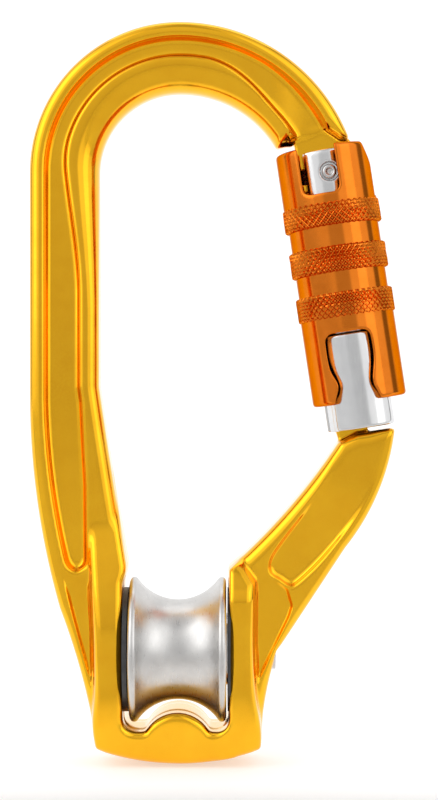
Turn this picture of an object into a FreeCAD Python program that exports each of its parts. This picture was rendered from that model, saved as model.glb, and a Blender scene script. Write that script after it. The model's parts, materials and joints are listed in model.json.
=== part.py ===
"""Pulley carabiner: a forged aluminium frame with a grooved sheave on two ball bearings in its
fork, closed by a sprung gate under an automatic locking sleeve.

Millimetres. The origin is the centre of the sheave. +X points from the spine to the gate, +Y to
the back and +Z up along the spine. The gate and what it carries are drawn upright about their own
axis, then placed on the frame with the gate's lean.
"""

import FreeCAD, Part
import math
import os

V = FreeCAD.Vector

DIMENSIONS = {
    # frame
    "bar_depth": 10.6,
    "cheek_depth": 18.4,
    "tongue_depth": 4.0,
    "channel_depth": 2.4,
    "spine_outer": 26.64,
    "spine_inner": 14.16,
    "crown_x": 0.36,
    "crown_top": 113.2,
    "crown_radius": 27.0,
    "nose_radius": 32.6,
    "bar_width": 12.45,
    # pulley
    "sheave_radius": 13.05,
    "sheave_width": 17.84,
    "tread_radius": 9.0,
    "groove_radius": 9.0,
    "pocket_left": 9.75,
    "pocket_right": 9.45,
    "washer_gap": 0.03,
    "washer_radius": 11.2,
    "axle_radius": 3.0,
    "axle_left": 14.5,
    "axle_right": 17.6,
    "axle_head_radius": 3.6,
    "axle_head_width": 1.2,
    # bearings
    "bearing_radius": 6.5,
    "bearing_width": 5.0,
    "inner_race_radius": 3.95,
    "outer_race_radius": 5.55,
    "ball_radius": 0.95,
    "ball_count": 9,
    # gate
    "gate_x": 29.84,
    "gate_z": 65.7,
    "gate_lean": 8.6,
    "gate_radius": 7.12,
    "neck_radius": 6.33,
    "gate_top": 24.7,
    "gate_bottom": 26.2,
    "fork_gap": 4.6,
    "pivot_x": -2.6,
    "pivot_z": -23.6,
    "hinge_pin_radius": 1.25,
    "latch_x": 0.36,
    "latch_z": 20.5,
    "latch_pin_radius": 1.0,
    # gate spring
    "plunger_radius": 1.5,
    "plunger_centre": -19.2,
    "plunger_top": -13.2,
    "bore_top": -4.0,
    "gate_wire": 0.25,
    "gate_coil": 1.2,
    # sleeve
    "sleeve_bore": 7.2,
    "sleeve_body": 8.5,
    "sleeve_waist": 8.15,
    "sleeve_ring": 8.82,
    "sleeve_top": 25.2,
    "sleeve_bottom": -20.9,
    "lip_radius": 6.4,
    "lip_bottom": 7.7,
    "slot_width": 4.7,
    "slot_floor": 15.6,
    "sleeve_wire": 0.22,
    "sleeve_coil": 6.64,
    "running_gap": 0.05,
}

doc = FreeCAD.newDocument("pulley_carabiner")
sizes = doc.addObject("Spreadsheet::Sheet", "Sizes")
for row, (alias, value) in enumerate(DIMENSIONS.items(), start=1):
    sizes.set(f"A{row}", alias)
    sizes.set(f"B{row}", str(value))
    sizes.setAlias(f"B{row}", alias)
doc.recompute()

parts = []


def size(alias):
    return float(sizes.get(alias))


def bind(thing, **expressions):
    """Bind each property of an object to an expression in the sheet's aliases."""
    for name, expression in expressions.items():
        words = [f"Sizes.{word}" if word in DIMENSIONS else word for word in expression.split()]
        thing.setExpression(name, " ".join(words))


def keep(thing, label, placement=None):
    """Give a finished sub-part its own label and place, and list it for export."""
    thing.Label = label
    if placement is not None:
        thing.Placement = placement
    parts.append(thing)
    return thing


# The gate's own upright frame, leaning towards the spine.
GATE = FreeCAD.Placement(
    V(size("gate_x"), 0, size("gate_z")),
    FreeCAD.Rotation(V(0, 1, 0), -size("gate_lean")),
)


def across(x):
    """A placement whose own Z axis runs along +X from x."""
    return FreeCAD.Placement(V(x, 0, 0), FreeCAD.Rotation(V(0, 1, 0), 90))


# ---------------------------------------------------------------- sketches and features


def line(*points):
    """Straight runs through two or more points."""
    return [Part.LineSegment(V(*a, 0), V(*b, 0)) for a, b in zip(points, points[1:])]


def arc(start, through, end):
    """One circular arc through three points."""
    return [Part.Arc(V(*start, 0), V(*through, 0), V(*end, 0))]


def circle(x, y, radius):
    return [Part.Circle(V(x, y, 0), V(0, 0, 1), radius)]


def rectangle(x0, y0, x1, y1):
    return line((x0, y0), (x1, y0), (x1, y1), (x0, y1), (x0, y0))


def turn(centre, radius, degrees):
    """A point on a circle."""
    angle = math.radians(degrees)
    return (centre[0] + radius * math.cos(angle), centre[1] + radius * math.sin(angle))


def sketch(body, name, plane, geometry):
    drawing = body.newObject("Sketcher::SketchObject", name)
    support = next(f for f in body.Origin.OriginFeatures if f.Role == plane)
    drawing.AttachmentSupport = [(support, "")]
    drawing.MapMode = "FlatFace"
    for curve in geometry:
        drawing.addGeometry(curve)
    return drawing


def pad(body, name, drawing, length):
    """A symmetric pad about the sketch's plane."""
    feature = body.newObject("PartDesign::Pad", name)
    feature.Profile = drawing
    feature.SideType = "Symmetric"
    bind(feature, Length=length)
    return feature


def pocket(body, name, drawing, length, side="Symmetric"):
    """A pocket of a stated depth: symmetric, or towards the plane's normal ("One side")."""
    feature = body.newObject("PartDesign::Pocket", name)
    feature.Profile = drawing
    feature.SideType = side
    feature.Reversed = side == "One side"
    bind(feature, Length=length)
    before = body.Shape.Volume
    doc.recompute()
    if body.Shape.Volume >= before - 1e-6:
        raise RuntimeError(f"{name} cuts nothing")
    return feature


def revolve(body, name, drawing, axis):
    feature = body.newObject("PartDesign::Revolution", name)
    feature.Profile = drawing
    feature.ReferenceAxis = (drawing, [axis])
    feature.Angle = 360
    doc.recompute()
    return feature


def new_body(name):
    return doc.addObject("PartDesign::Body", name)


# ---------------------------------------------------------------- round pieces


def rod(label, radius, height, placement):
    """A plain cylinder along its own Z axis. radius and height are sheet expressions."""
    piece = doc.addObject("Part::Cylinder", label)
    bind(piece, Radius=radius, Height=height)
    return keep(piece, label, placement)


def tube(label, outer, inner, height, placement):
    """A ring along its own Z axis. All sizes are sheet expressions."""
    outside = doc.addObject("Part::Cylinder", f"{label}_outside")
    inside = doc.addObject("Part::Cylinder", f"{label}_inside")
    bind(outside, Radius=outer, Height=height)
    bind(inside, Radius=inner, Height=height)
    ring = doc.addObject("Part::Cut", label)
    ring.Base = outside
    ring.Tool = inside
    return keep(ring, label, placement)


def spring(label, coil, wire, low, high, turns, placement):
    """A compression spring between two heights on its own Z axis, with an eight-sided wire."""
    steps, sides = 24 * turns, 8
    start, rise = low + wire, high - low - 2 * wire
    sections = []
    for step in range(steps + 1):
        around = 2 * math.pi * step * turns / steps
        section = []
        for side in range(sides):
            angle = 2 * math.pi * side / sides
            radius = coil + wire * math.cos(angle)
            height = start + rise * step / steps + wire * math.sin(angle)
            section.append(V(radius * math.cos(around), radius * math.sin(around), height))
        sections.append(section)
    faces = [Part.Face(Part.makePolygon(end + end[:1])) for end in (sections[0], sections[-1])]
    for below, above in zip(sections, sections[1:]):
        for side in range(sides):
            after = (side + 1) % sides
            for corners in ((below[side], above[side], above[after]),
                            (below[side], above[after], below[after])):
                faces.append(Part.Face(Part.makePolygon([*corners, corners[0]])))
    shell = Part.makeShell(faces)
    shell.sewShape()
    piece = doc.addObject("Part::Feature", label)
    piece.Shape = Part.Solid(shell)
    return keep(piece, label, placement)


# ---------------------------------------------------------------- frame

SPINE_OUT = -size("spine_outer")
SPINE_IN = -size("spine_inner")
CROWN = (size("crown_x"), size("crown_top") - size("crown_radius"))
NOSE = (size("crown_x"), size("crown_top") - size("nose_radius"))
CROWN_IN = size("crown_x") - SPINE_IN
NOSE_IN = size("nose_radius") - size("bar_width")
SPINE_FOOT = 45.2
NOSE_OUT_ANGLE = 21.8
NOSE_IN_ANGLE = 30.0
COLLAR_Z = -26.5


def on_gate(across_axis, along_axis):
    """A point given on the gate's own axes, in the frame's plane."""
    point = GATE.multVec(V(across_axis, 0, along_axis))
    return (point.x, point.z)


# The two lower legs as far as the fork, outside then inside.
LEFT_OUTSIDE = [(-21.2, 7.7), (-17.64, -3.06), (-15.2, -13.5)]
BOTTOM_LEFT = (-14.5, -17.0)
BOTTOM_RIGHT = (14.75, -17.0)
BOTTOM_DIP = (0.1, -19.8)
RIGHT_OUTSIDE = [(14.95, -16.0), (15.5, -9.9), (17.9, 0.1)]
ARM_OUTSIDE = [(30.1, 18.6), (36.1, 28.7), (39.0, 39.6)]
ARM_INSIDE = [(28.9, 37.6), (22.9, 29.3), (11.0, 16.5)]
POCKET_LEFT = -size("pocket_left")
POCKET_RIGHT = size("pocket_right")
LEFT_INSIDE = [(-9.0, 15.0), (-11.35, 29.0), (SPINE_IN, 47.5)]


def fork_floor():
    """From the right wall of the fork, round the dome under the groove, to the left wall."""
    return (
        arc((POCKET_RIGHT, -11.4), (POCKET_RIGHT - 0.75, -13.2), (7.0, -13.9))
        + line((7.0, -13.9), (6.2, -13.9))
        + arc((6.2, -13.9), (5.8, -13.8), (5.4, -13.4))
        + arc((5.4, -13.4), (0, -10.45), (-5.4, -13.4))
        + arc((-5.4, -13.4), (-5.8, -13.8), (-6.2, -13.9))
        + line((-6.2, -13.9), (-7.3, -13.9))
        + arc((-7.3, -13.9), (POCKET_LEFT + 0.75, -13.2), (POCKET_LEFT, -11.4))
    )


def frame_outline():
    """The C shape from the nose, round the crown and spine, to the collar and back inside."""
    nose_out = turn(NOSE, size("nose_radius"), NOSE_OUT_ANGLE)
    nose_in = turn(NOSE, NOSE_IN, NOSE_IN_ANGLE)
    top_out = (size("crown_x"), size("crown_top"))
    top_in = (size("crown_x"), size("crown_top") - size("bar_width"))
    outside = (
        arc(nose_out, turn(NOSE, size("nose_radius"), 55), top_out)
        + arc(top_out, turn(CROWN, size("crown_radius"), 135), (SPINE_OUT, CROWN[1]))
        + line((SPINE_OUT, CROWN[1]), (SPINE_OUT, SPINE_FOOT))
        + arc((SPINE_OUT, SPINE_FOOT), (-24.95, 24.6), LEFT_OUTSIDE[0])
        + arc(*LEFT_OUTSIDE)
        + line(LEFT_OUTSIDE[2], BOTTOM_LEFT)
        + arc(BOTTOM_LEFT, BOTTOM_DIP, BOTTOM_RIGHT)
        + line(BOTTOM_RIGHT, RIGHT_OUTSIDE[0])
        + arc(*RIGHT_OUTSIDE)
        + line(RIGHT_OUTSIDE[2], ARM_OUTSIDE[0])
        + arc(*ARM_OUTSIDE)
    )
    collar = line(
        ARM_OUTSIDE[2],
        on_gate(4.9, COLLAR_Z),
        on_gate(-1.6, COLLAR_Z),
        on_gate(-4.7, COLLAR_Z - 1.2),
        ARM_INSIDE[0],
    )
    inside = (
        arc(*ARM_INSIDE)
        + line(ARM_INSIDE[2], (POCKET_RIGHT, 14.9), (POCKET_RIGHT, -11.4))
        + fork_floor()
        + line((POCKET_LEFT, -11.4), (POCKET_LEFT, 13.7), LEFT_INSIDE[0])
        + arc(*LEFT_INSIDE)
        + line(LEFT_INSIDE[2], (SPINE_IN, CROWN[1]))
        + arc((SPINE_IN, CROWN[1]), turn(CROWN, CROWN_IN, 135), top_in)
        + arc(top_in, turn(NOSE, NOSE_IN, 60), nose_in)
    )
    nose_end = line(nose_in, on_gate(-5.4, 26.5), on_gate(1.2, 28.0), on_gate(4.4, 26.8), nose_out)
    return outside + collar + inside + nose_end


def nose_plate():
    """The thin plate that enters the gate's head, with a hook notch for the latch pin."""
    x, z = size("latch_x"), size("latch_z")
    reach = size("latch_pin_radius") + 0.3
    left, right, low, high = -4.9, 5.6, 17.6, 29.0
    corners = [(x, z + reach), (left, z + reach), (left, high), (3.2, high), (right, 25.2)]
    corners += [(right, low), (left, low), (left, z - reach), (x, z - reach)]
    points = [on_gate(*corner) for corner in corners]
    return line(*points) + arc(points[-1], on_gate(x + reach, z), points[0])


def hinge_tongue():
    """The tongue between the gate's two ears. Its sloping top is the cam for the plunger."""
    x, z = size("pivot_x"), size("pivot_z")
    offsets = [(-2.3, -4.4), (-2.9, 0), (-2.2, 4.0), (-0.6, 4.42), (1.8, 3.0), (3.0, 2.2)]
    offsets += [(3.2, -4.4), (-2.3, -4.4)]
    return line(*[on_gate(x + dx, z + dz) for dx, dz in offsets])


def cheek(side):
    """One proud cheek beside the sheave, on the frame's side -1 (spine) or +1 (gate)."""
    if side < 0:
        return (
            line((POCKET_LEFT, -12.5), (POCKET_LEFT, 13.7), (-11.3, 15.5), (-13.2, 22.0))
            + line((-13.2, 22.0), (-15.6, 36.0), (-16.6, 12.0), (-15.6, -5.0), (-14.4, -15.5))
            + line((-14.4, -15.5), (POCKET_LEFT, -12.5))
        )
    return (
        line((POCKET_RIGHT, -12.5), (POCKET_RIGHT, 14.6), (12.2, 15.4), (15.4, 12.4))
        + line((15.4, 12.4), (14.6, 0.0), (13.6, -15.5), (POCKET_RIGHT, -12.5))
    )


def main_channel():
    """The channel of the H section: up the leg and spine and round the crown."""
    wall = 2.9
    floor_out = SPINE_OUT + wall
    floor_in = SPINE_IN - 3.5
    out_radius = size("crown_radius") - wall
    in_radius = CROWN_IN + 6.2
    nose_out = turn(NOSE, size("nose_radius") - wall, 28)
    nose_in = turn(NOSE, NOSE_IN + 4.0, 36)
    top = size("crown_x")
    return (
        arc((-19.9, 15.6), (-18.9, 14.4), (-17.3, 16.4))
        + line((-17.3, 16.4), (floor_in, SPINE_FOOT), (floor_in, 72.0))
        + line((floor_in, 72.0), (CROWN[0] - in_radius, CROWN[1] + 3.0))
        + arc((CROWN[0] - in_radius, CROWN[1] + 3.0), turn(CROWN, in_radius, 130),
              (top, CROWN[1] + in_radius))
        + arc((top, CROWN[1] + in_radius), (11.8, 103.6), nose_in)
        + line(nose_in, nose_out)
        + arc(nose_out, turn(NOSE, size("nose_radius") - wall, 60), (top, CROWN[1] + out_radius))
        + arc((top, CROWN[1] + out_radius), turn(CROWN, out_radius, 135), (floor_out, CROWN[1]))
        + line((floor_out, CROWN[1]), (floor_out, SPINE_FOOT), (-19.9, 15.6))
    )


def arm_channel():
    """The shallow channel of the right arm, round at its lower end."""
    return (
        line((16.9, 17.2), (28.2, 30.4), (30.2, 34.6), (35.6, 33.6), (33.2, 27.6), (19.6, 12.6))
        + arc((19.6, 12.6), (16.6, 13.4), (16.9, 17.2))
    )


def cut_faces(body, name, geometry, floor_depth):
    """Sink the same outline into the frame's front and back, down to a floor."""
    for side in (-1, 1):
        drawing = sketch(body, f"{name}_outline_{side + 1}", "XZ_Plane", geometry)
        drawing.AttachmentOffset = FreeCAD.Placement(V(0, 0, side * size("bar_depth") / 2),
                                                     FreeCAD.Rotation())
        feature = body.newObject("PartDesign::Pocket", f"{name}_{side + 1}")
        feature.Profile = drawing
        feature.Reversed = side < 0
        bind(feature, Length=floor_depth)
        before = body.Shape.Volume
        doc.recompute()
        if body.Shape.Volume >= before - 1e-6:
            raise RuntimeError(f"{name} cuts nothing")


def axle_bore(body):
    """The stepped bore for the axle, along X through the right cheek and into the left one."""
    radius, head = size("axle_radius"), size("axle_head_radius")
    left, right = -size("axle_left"), size("axle_right")
    shoulder = right - size("axle_head_width")
    outline = line((left, 0), (left, radius), (shoulder, radius), (shoulder, head), (22.0, head),
                   (22.0, 0), (left, 0))
    drawing = sketch(body, "axle_bore_outline", "XZ_Plane", outline)
    feature = body.newObject("PartDesign::Groove", "axle_bore")
    feature.Profile = drawing
    feature.ReferenceAxis = (drawing, ["H_Axis"])
    feature.Angle = 360
    before = body.Shape.Volume
    doc.recompute()
    if body.Shape.Volume >= before - 1e-6:
        raise RuntimeError("axle_bore cuts nothing")


def build_frame():
    body = new_body("frame")
    pad(body, "bar", sketch(body, "bar_outline", "XZ_Plane", frame_outline()), "bar_depth")
    doc.recompute()
    for name, side in (("left_cheek", -1), ("right_cheek", 1)):
        pad(body, name, sketch(body, f"{name}_outline", "XZ_Plane", cheek(side)), "cheek_depth")
    for name, outline in (("nose_plate", nose_plate()), ("tongue", hinge_tongue())):
        pad(body, name, sketch(body, f"{name}_outline", "XZ_Plane", outline), "tongue_depth")
    doc.recompute()
    pin = circle(*on_gate(size("pivot_x"), size("pivot_z")), size("hinge_pin_radius"))
    pocket(body, "hinge_hole", sketch(body, "hinge_circle", "XZ_Plane", pin), "bar_depth")
    axle_bore(body)
    cut_faces(body, "main_channel", main_channel(), "channel_depth")
    cut_faces(body, "arm_channel", arm_channel(), "channel_depth * 0.5")
    keep(body, "frame")


# ---------------------------------------------------------------- sheave, axle and bearings


def build_sheave():
    """A grooved wheel: a concave tread between two rounded rims, bored for the bearings."""
    body = new_body("sheave")
    half, rim, tread = size("sheave_width") / 2, size("sheave_radius"), size("tread_radius")
    groove, bore = size("groove_radius"), size("bearing_radius")
    edge = 0.6
    drop = groove + tread - rim
    chord = math.sqrt(groove**2 - drop**2)
    outline = (
        arc((-chord, rim), (0, tread), (chord, rim))
        + line((chord, rim), (half - edge, rim), (half, rim - edge), (half, bore), (-half, bore))
        + line((-half, bore), (-half, rim - edge), (edge - half, rim), (-chord, rim))
    )
    revolve(body, "wheel", sketch(body, "wheel_outline", "XZ_Plane", outline), "H_Axis")
    keep(body, "sheave")


def build_axle():
    """A plain shaft with a shallow head that sits in the right cheek."""
    left, right = -size("axle_left"), size("axle_right")
    radius, head = size("axle_radius"), size("axle_head_radius")
    shoulder = right - size("axle_head_width")
    body = new_body("axle")
    outline = line((left, 0), (left, radius), (shoulder, radius), (shoulder, head), (right, head),
                   (right, 0), (left, 0))
    revolve(body, "shaft", sketch(body, "shaft_outline", "XZ_Plane", outline), "H_Axis")
    keep(body, "axle")


def build_washers():
    half, gap = size("sheave_width") / 2, size("washer_gap")
    for side, wall in (("left", "pocket_left"), ("right", "pocket_right")):
        start = -size(wall) if side == "left" else half + gap
        height = f"{wall} - sheave_width / 2 - washer_gap"
        tube(f"thrust_washer_{side}", "washer_radius", "axle_radius", height, across(start))


def ball_set(label, centre):
    """One ring of balls, as separate solids in one group."""
    pitch = (size("inner_race_radius") + size("outer_race_radius")) / 2
    count = int(size("ball_count"))
    balls = []
    for number in range(count):
        ball = doc.addObject("Part::Sphere", f"{label}_{number}")
        bind(ball, Radius="ball_radius")
        angle = 2 * math.pi * number / count
        ball.Placement.Base = V(centre, pitch * math.cos(angle), pitch * math.sin(angle))
        balls.append(ball)
    group = doc.addObject("Part::Compound", label)
    group.Links = balls
    keep(group, label)


def cage(label, start):
    """A snap cage: a thin crown beside the balls with a finger between each pair."""
    pitch = (size("inner_race_radius") + size("outer_race_radius")) / 2
    count = int(size("ball_count"))
    ring = Part.makeCylinder(pitch + 0.4, 0.7).cut(Part.makeCylinder(pitch - 0.4, 0.7))
    fingers = []
    for number in range(count):
        finger = Part.makeBox(0.8, 0.7, 1.7, V(pitch - 0.4, -0.35, 0))
        finger.rotate(V(), V(0, 0, 1), 90 + 360 * (number + 0.5) / count)
        fingers.append(finger)
    piece = doc.addObject("Part::Feature", label)
    piece.Shape = ring.multiFuse(fingers).removeSplitter()
    keep(piece, label, across(start))


def race(label, inner, outer, track, start):
    """A bearing race: a ring with a ball track revolved into its running face."""
    width = size("bearing_width")
    pitch = (size("inner_race_radius") + size("outer_race_radius")) / 2
    body = new_body(label)
    ring = rectangle(0, inner, width, outer)
    revolve(body, f"{label}_ring", sketch(body, f"{label}_outline", "XZ_Plane", ring), "H_Axis")
    groove = sketch(body, f"{label}_track_outline", "XZ_Plane",
                    circle(width / 2, pitch, size("ball_radius") + track))
    cut = body.newObject("PartDesign::Groove", f"{label}_track")
    cut.Profile = groove
    cut.ReferenceAxis = (groove, ["H_Axis"])
    cut.Angle = 360
    keep(body, label, FreeCAD.Placement(V(start, 0, 0), FreeCAD.Rotation()))


def build_bearings():
    half, width = size("sheave_width") / 2, size("bearing_width")
    shield, inset = 0.25, 0.3
    inner, outer = size("inner_race_radius"), size("outer_race_radius")
    for side, start in (("left", -half), ("right", half - width)):
        race(f"bearing_outer_race_{side}", outer, size("bearing_radius"), 0.05, start)
        race(f"bearing_inner_race_{side}", size("axle_radius"), inner, 0.05, start)
        ball_set(f"bearing_balls_{side}", start + width / 2)
        cage(f"bearing_cage_{side}", start + 0.75)
        face = start + inset if side == "left" else start + width - inset - shield
        shield_ring = tube(f"bearing_shield_{side}", "outer_race_radius",
                           "inner_race_radius + running_gap", "1", across(face))
        for cylinder in (shield_ring.Base, shield_ring.Tool):
            cylinder.setExpression("Height", None)
            cylinder.Height = shield
    tube("bearing_spacer", "inner_race_radius", "axle_radius",
         "sheave_width - bearing_width * 2", across(-half + width))


# ---------------------------------------------------------------- gate and hinge


def build_gate():
    """The bar of the gate: a forked head for the nose, a neck for the sleeve's works, and a
    forked foot for the hinge tongue, with a bore for the plunger and its spring."""
    top, bottom = size("gate_top"), -size("gate_bottom")
    wide, neck, bore = size("gate_radius"), size("neck_radius"), size("plunger_radius") + 0.08
    seat_radius, seat_low, seat_high = neck - 0.2, -8.5, 2.0
    body = new_body("gate_body")
    outline = line(
        (0, size("bore_top")), (bore, size("bore_top")), (bore, bottom), (wide, bottom),
        (wide, seat_low), (seat_radius, seat_low), (seat_radius, seat_high), (neck, seat_high),
        (neck, top), (0, top), (0, size("bore_top")),
    )
    revolve(body, "bar_round", sketch(body, "bar_round_outline", "XZ_Plane", outline), "V_Axis")

    far = 12.0
    gap = size("fork_gap") / 2
    slots = rectangle(-gap, 16.0, gap, far * 3) + rectangle(-gap, -far * 3, gap, -18.75)
    pocket(body, "forks", sketch(body, "fork_outline", "YZ_Plane", slots), "gate_radius * 4")
    flat, foot_top = 6.6, -20.3
    flats = rectangle(flat, -far * 3, far, foot_top) + rectangle(-far, -far * 3, -flat, foot_top)
    pocket(body, "foot_flats", sketch(body, "flat_outline", "YZ_Plane", flats), "gate_radius * 4")

    head_left, head_right, foot_left, foot_right = -3.9, 6.0, -6.84, 5.5
    corner = 2.6
    rounding = (foot_left + corner, bottom + corner)
    sides = (
        rectangle(-far, 17.3, head_left, far * 3)
        + rectangle(head_right, 17.3, far, far * 3)
        + rectangle(foot_right, -far * 3, far, foot_top)
        + line((-far, foot_top), (-far, -far * 3), (rounding[0], -far * 3), (rounding[0], bottom))
        + arc((rounding[0], bottom), turn(rounding, corner, 225), (foot_left, rounding[1]))
        + line((foot_left, rounding[1]), (foot_left, foot_top), (-far, foot_top))
    )
    pocket(body, "sides", sketch(body, "side_outline", "XZ_Plane", sides), "gate_radius * 4")
    holes = circle(size("pivot_x"), size("pivot_z"), size("hinge_pin_radius") + 0.03)
    holes += circle(size("latch_x"), size("latch_z"), size("latch_pin_radius"))
    pocket(body, "pin_holes", sketch(body, "pin_circles", "XZ_Plane", holes), "gate_radius * 4")
    groove = sketch(body, "guide_outline", "YZ_Plane", rectangle(5.2, 2.9, far, 7.9))
    pocket(body, "guide_groove", groove, "running_gap * 2 + 1")
    keep(body, "gate_body", GATE)


def pin_along_y(label, radius, x, z, half_length):
    """A pin across the gate, along Y, at a place on the gate's own axes."""
    flat_pin = rod(label, radius, "1", None)
    flat_pin.setExpression("Height", None)
    flat_pin.Height = 2 * half_length
    own = FreeCAD.Placement(V(x, half_length, z), FreeCAD.Rotation(V(1, 0, 0), 90))
    flat_pin.Placement = GATE.multiply(own)


def build_pins():
    pin_along_y("hinge_pin", "hinge_pin_radius", size("pivot_x"), size("pivot_z"), 6.0)
    pin_along_y("latch_pin", "latch_pin_radius", size("latch_x"), size("latch_z"), 6.2)


def build_plunger():
    """The round-nosed plunger that the gate spring pushes down on the tongue's cam."""
    body = new_body("gate_plunger")
    radius, centre, top = size("plunger_radius"), size("plunger_centre"), size("plunger_top")
    outline = (
        arc((0, centre - radius), turn((0, centre), radius, -45), (radius, centre))
        + line((radius, centre), (radius, top), (0, top), (0, centre - radius))
    )
    revolve(body, "plunger", sketch(body, "plunger_outline", "XZ_Plane", outline), "V_Axis")
    keep(body, "gate_plunger", GATE)


# ---------------------------------------------------------------- locking sleeve


def sleeve_profile():
    """Half section: bore with an inner lip and a ring groove, outside with three raised rings."""
    bore, lip = size("sleeve_bore"), size("lip_radius")
    low, high = size("sleeve_bottom"), size("sleeve_top")
    plain, waist, ring = size("sleeve_body"), size("sleeve_waist"), size("sleeve_ring")
    lip_low, lip_high = size("lip_bottom"), size("lip_bottom") + 1.0
    groove_low, groove_high, groove_radius = 4.85, 5.55, bore + 0.35
    slope = 0.5
    points = [(bore, low), (bore, groove_low), (groove_radius, groove_low)]
    points += [(groove_radius, groove_high), (bore, groove_high), (bore, lip_low), (lip, lip_low)]
    points += [(lip, lip_high), (bore, lip_high), (bore, high), (plain, high)]
    rings = [(15.1, 10.8, plain, waist), (7.2, 2.5, waist, waist), (-1.1, -5.6, waist, plain)]
    for ring_top, ring_low, above, below in rings:
        points += [(above, ring_top + slope), (ring, ring_top), (ring, ring_low)]
        points += [(below, ring_low - slope)]
    points += [(plain, low), (bore, low)]
    return line(*points)


def keyhole_notch():
    """The notch in the sleeve's lower front: round-shouldered, waisted and flared at the edge."""
    low = size("sleeve_bottom")
    return (
        line((-3.7, -8.3), (1.8, -8.3))
        + arc((1.8, -8.3), (2.7, -8.7), (3.1, -9.9))
        + line((3.1, -9.9), (3.0, -14.0), (2.3, -18.0), (3.1, -19.8), (4.2, low - 2))
        + line((4.2, low - 2), (-5.4, low - 2), (-4.6, -19.8), (-3.9, -17.6), (-5.0, -14.0))
        + line((-5.0, -14.0), (-5.0, -9.9))
        + arc((-5.0, -9.9), (-4.6, -8.8), (-3.7, -8.3))
    )


def top_window():
    """The window in the sleeve's upper front, open at the top edge."""
    left, right, low, corner = -4.86, 1.62, 16.7, 1.3
    high = size("sleeve_top") + 2
    centre_left, centre_right = (left + corner, low + corner), (right - corner, low + corner)
    return (
        arc((left, centre_left[1]), turn(centre_left, corner, 225), (centre_left[0], low))
        + line((centre_left[0], low), (centre_right[0], low))
        + arc((centre_right[0], low), turn(centre_right, corner, 315), (right, centre_right[1]))
        + line((right, centre_right[1]), (right, high), (left, high), (left, centre_left[1]))
    )


def build_sleeve():
    body = new_body("locking_sleeve")
    revolve(body, "tube", sketch(body, "tube_outline", "XZ_Plane", sleeve_profile()), "V_Axis")
    windows = sketch(body, "window_outline", "XZ_Plane", top_window() + keyhole_notch())
    pocket(body, "windows", windows, "sleeve_ring * 2", "One side")
    half = size("slot_width") / 2
    slot = rectangle(-half, size("slot_floor"), half, size("sleeve_top") + 2)
    pocket(body, "release_slot", sketch(body, "slot_outline", "YZ_Plane", slot),
           "sleeve_ring * 2", "One side")
    keep(body, "locking_sleeve", GATE)


def build_sleeve_works():
    """The carrier ring, its guide pin and the ring that holds the sleeve on the carrier."""
    low = FreeCAD.Placement(V(0, 0, 5.6), FreeCAD.Rotation())
    tube("carrier_ring", "sleeve_bore - running_gap", "neck_radius + running_gap",
         "lip_bottom - 5.65", GATE.multiply(low))
    pin = rod("carrier_pin", "plunger_radius / 3", "1.5", None)
    own = FreeCAD.Placement(V(0, 7.1, 6.6), FreeCAD.Rotation(V(1, 0, 0), 90))
    pin.Placement = GATE.multiply(own)
    low = FreeCAD.Placement(V(0, 0, 4.9), FreeCAD.Rotation())
    tube("retaining_ring", "sleeve_bore + 0.3", "sleeve_bore - 0.28", "0.6", GATE.multiply(low))


def build_springs():
    wire, coil = size("gate_wire"), size("gate_coil")
    spring("gate_spring", coil, wire, size("plunger_top"), size("bore_top"), 9, GATE)
    spring("sleeve_spring", size("sleeve_coil"), size("sleeve_wire"), -8.45, 5.55, 8, GATE)


# ---------------------------------------------------------------- build, check and write


def check():
    for thing in doc.Objects:
        if "Invalid" in thing.State or "Error" in thing.State:
            raise RuntimeError(f"{thing.Name} failed: {thing.State}")
    for part in parts:
        if part.Shape.isNull() or not part.Shape.isValid() or not part.Shape.Solids:
            raise RuntimeError(f"{part.Label} has no valid solid")


def write():
    os.makedirs("parts", exist_ok=True)
    for part in parts:
        part.Shape.exportStep(f"parts/{part.Label}.step")
        print(part.Label, len(part.Shape.Solids), round(part.Shape.Volume, 1))


build_frame()
build_sheave()
build_axle()
build_washers()
build_bearings()
build_gate()
build_pins()
build_plunger()
build_sleeve()
build_sleeve_works()
build_springs()
doc.recompute()
check()
write()
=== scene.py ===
"""Pulley carabiner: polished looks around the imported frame.

Every piece is modelled in millimetres, in the part's own frame, and scaled to metres once. The
forged frame, the gate and the sleeve are implicit surfaces: a field that is negative inside the
metal is sampled on a grid and turned into a smooth mesh with normals from the field's gradient.
"""

import json
import math

import bpy
import numpy as np
from mathutils import Matrix, Vector


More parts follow.
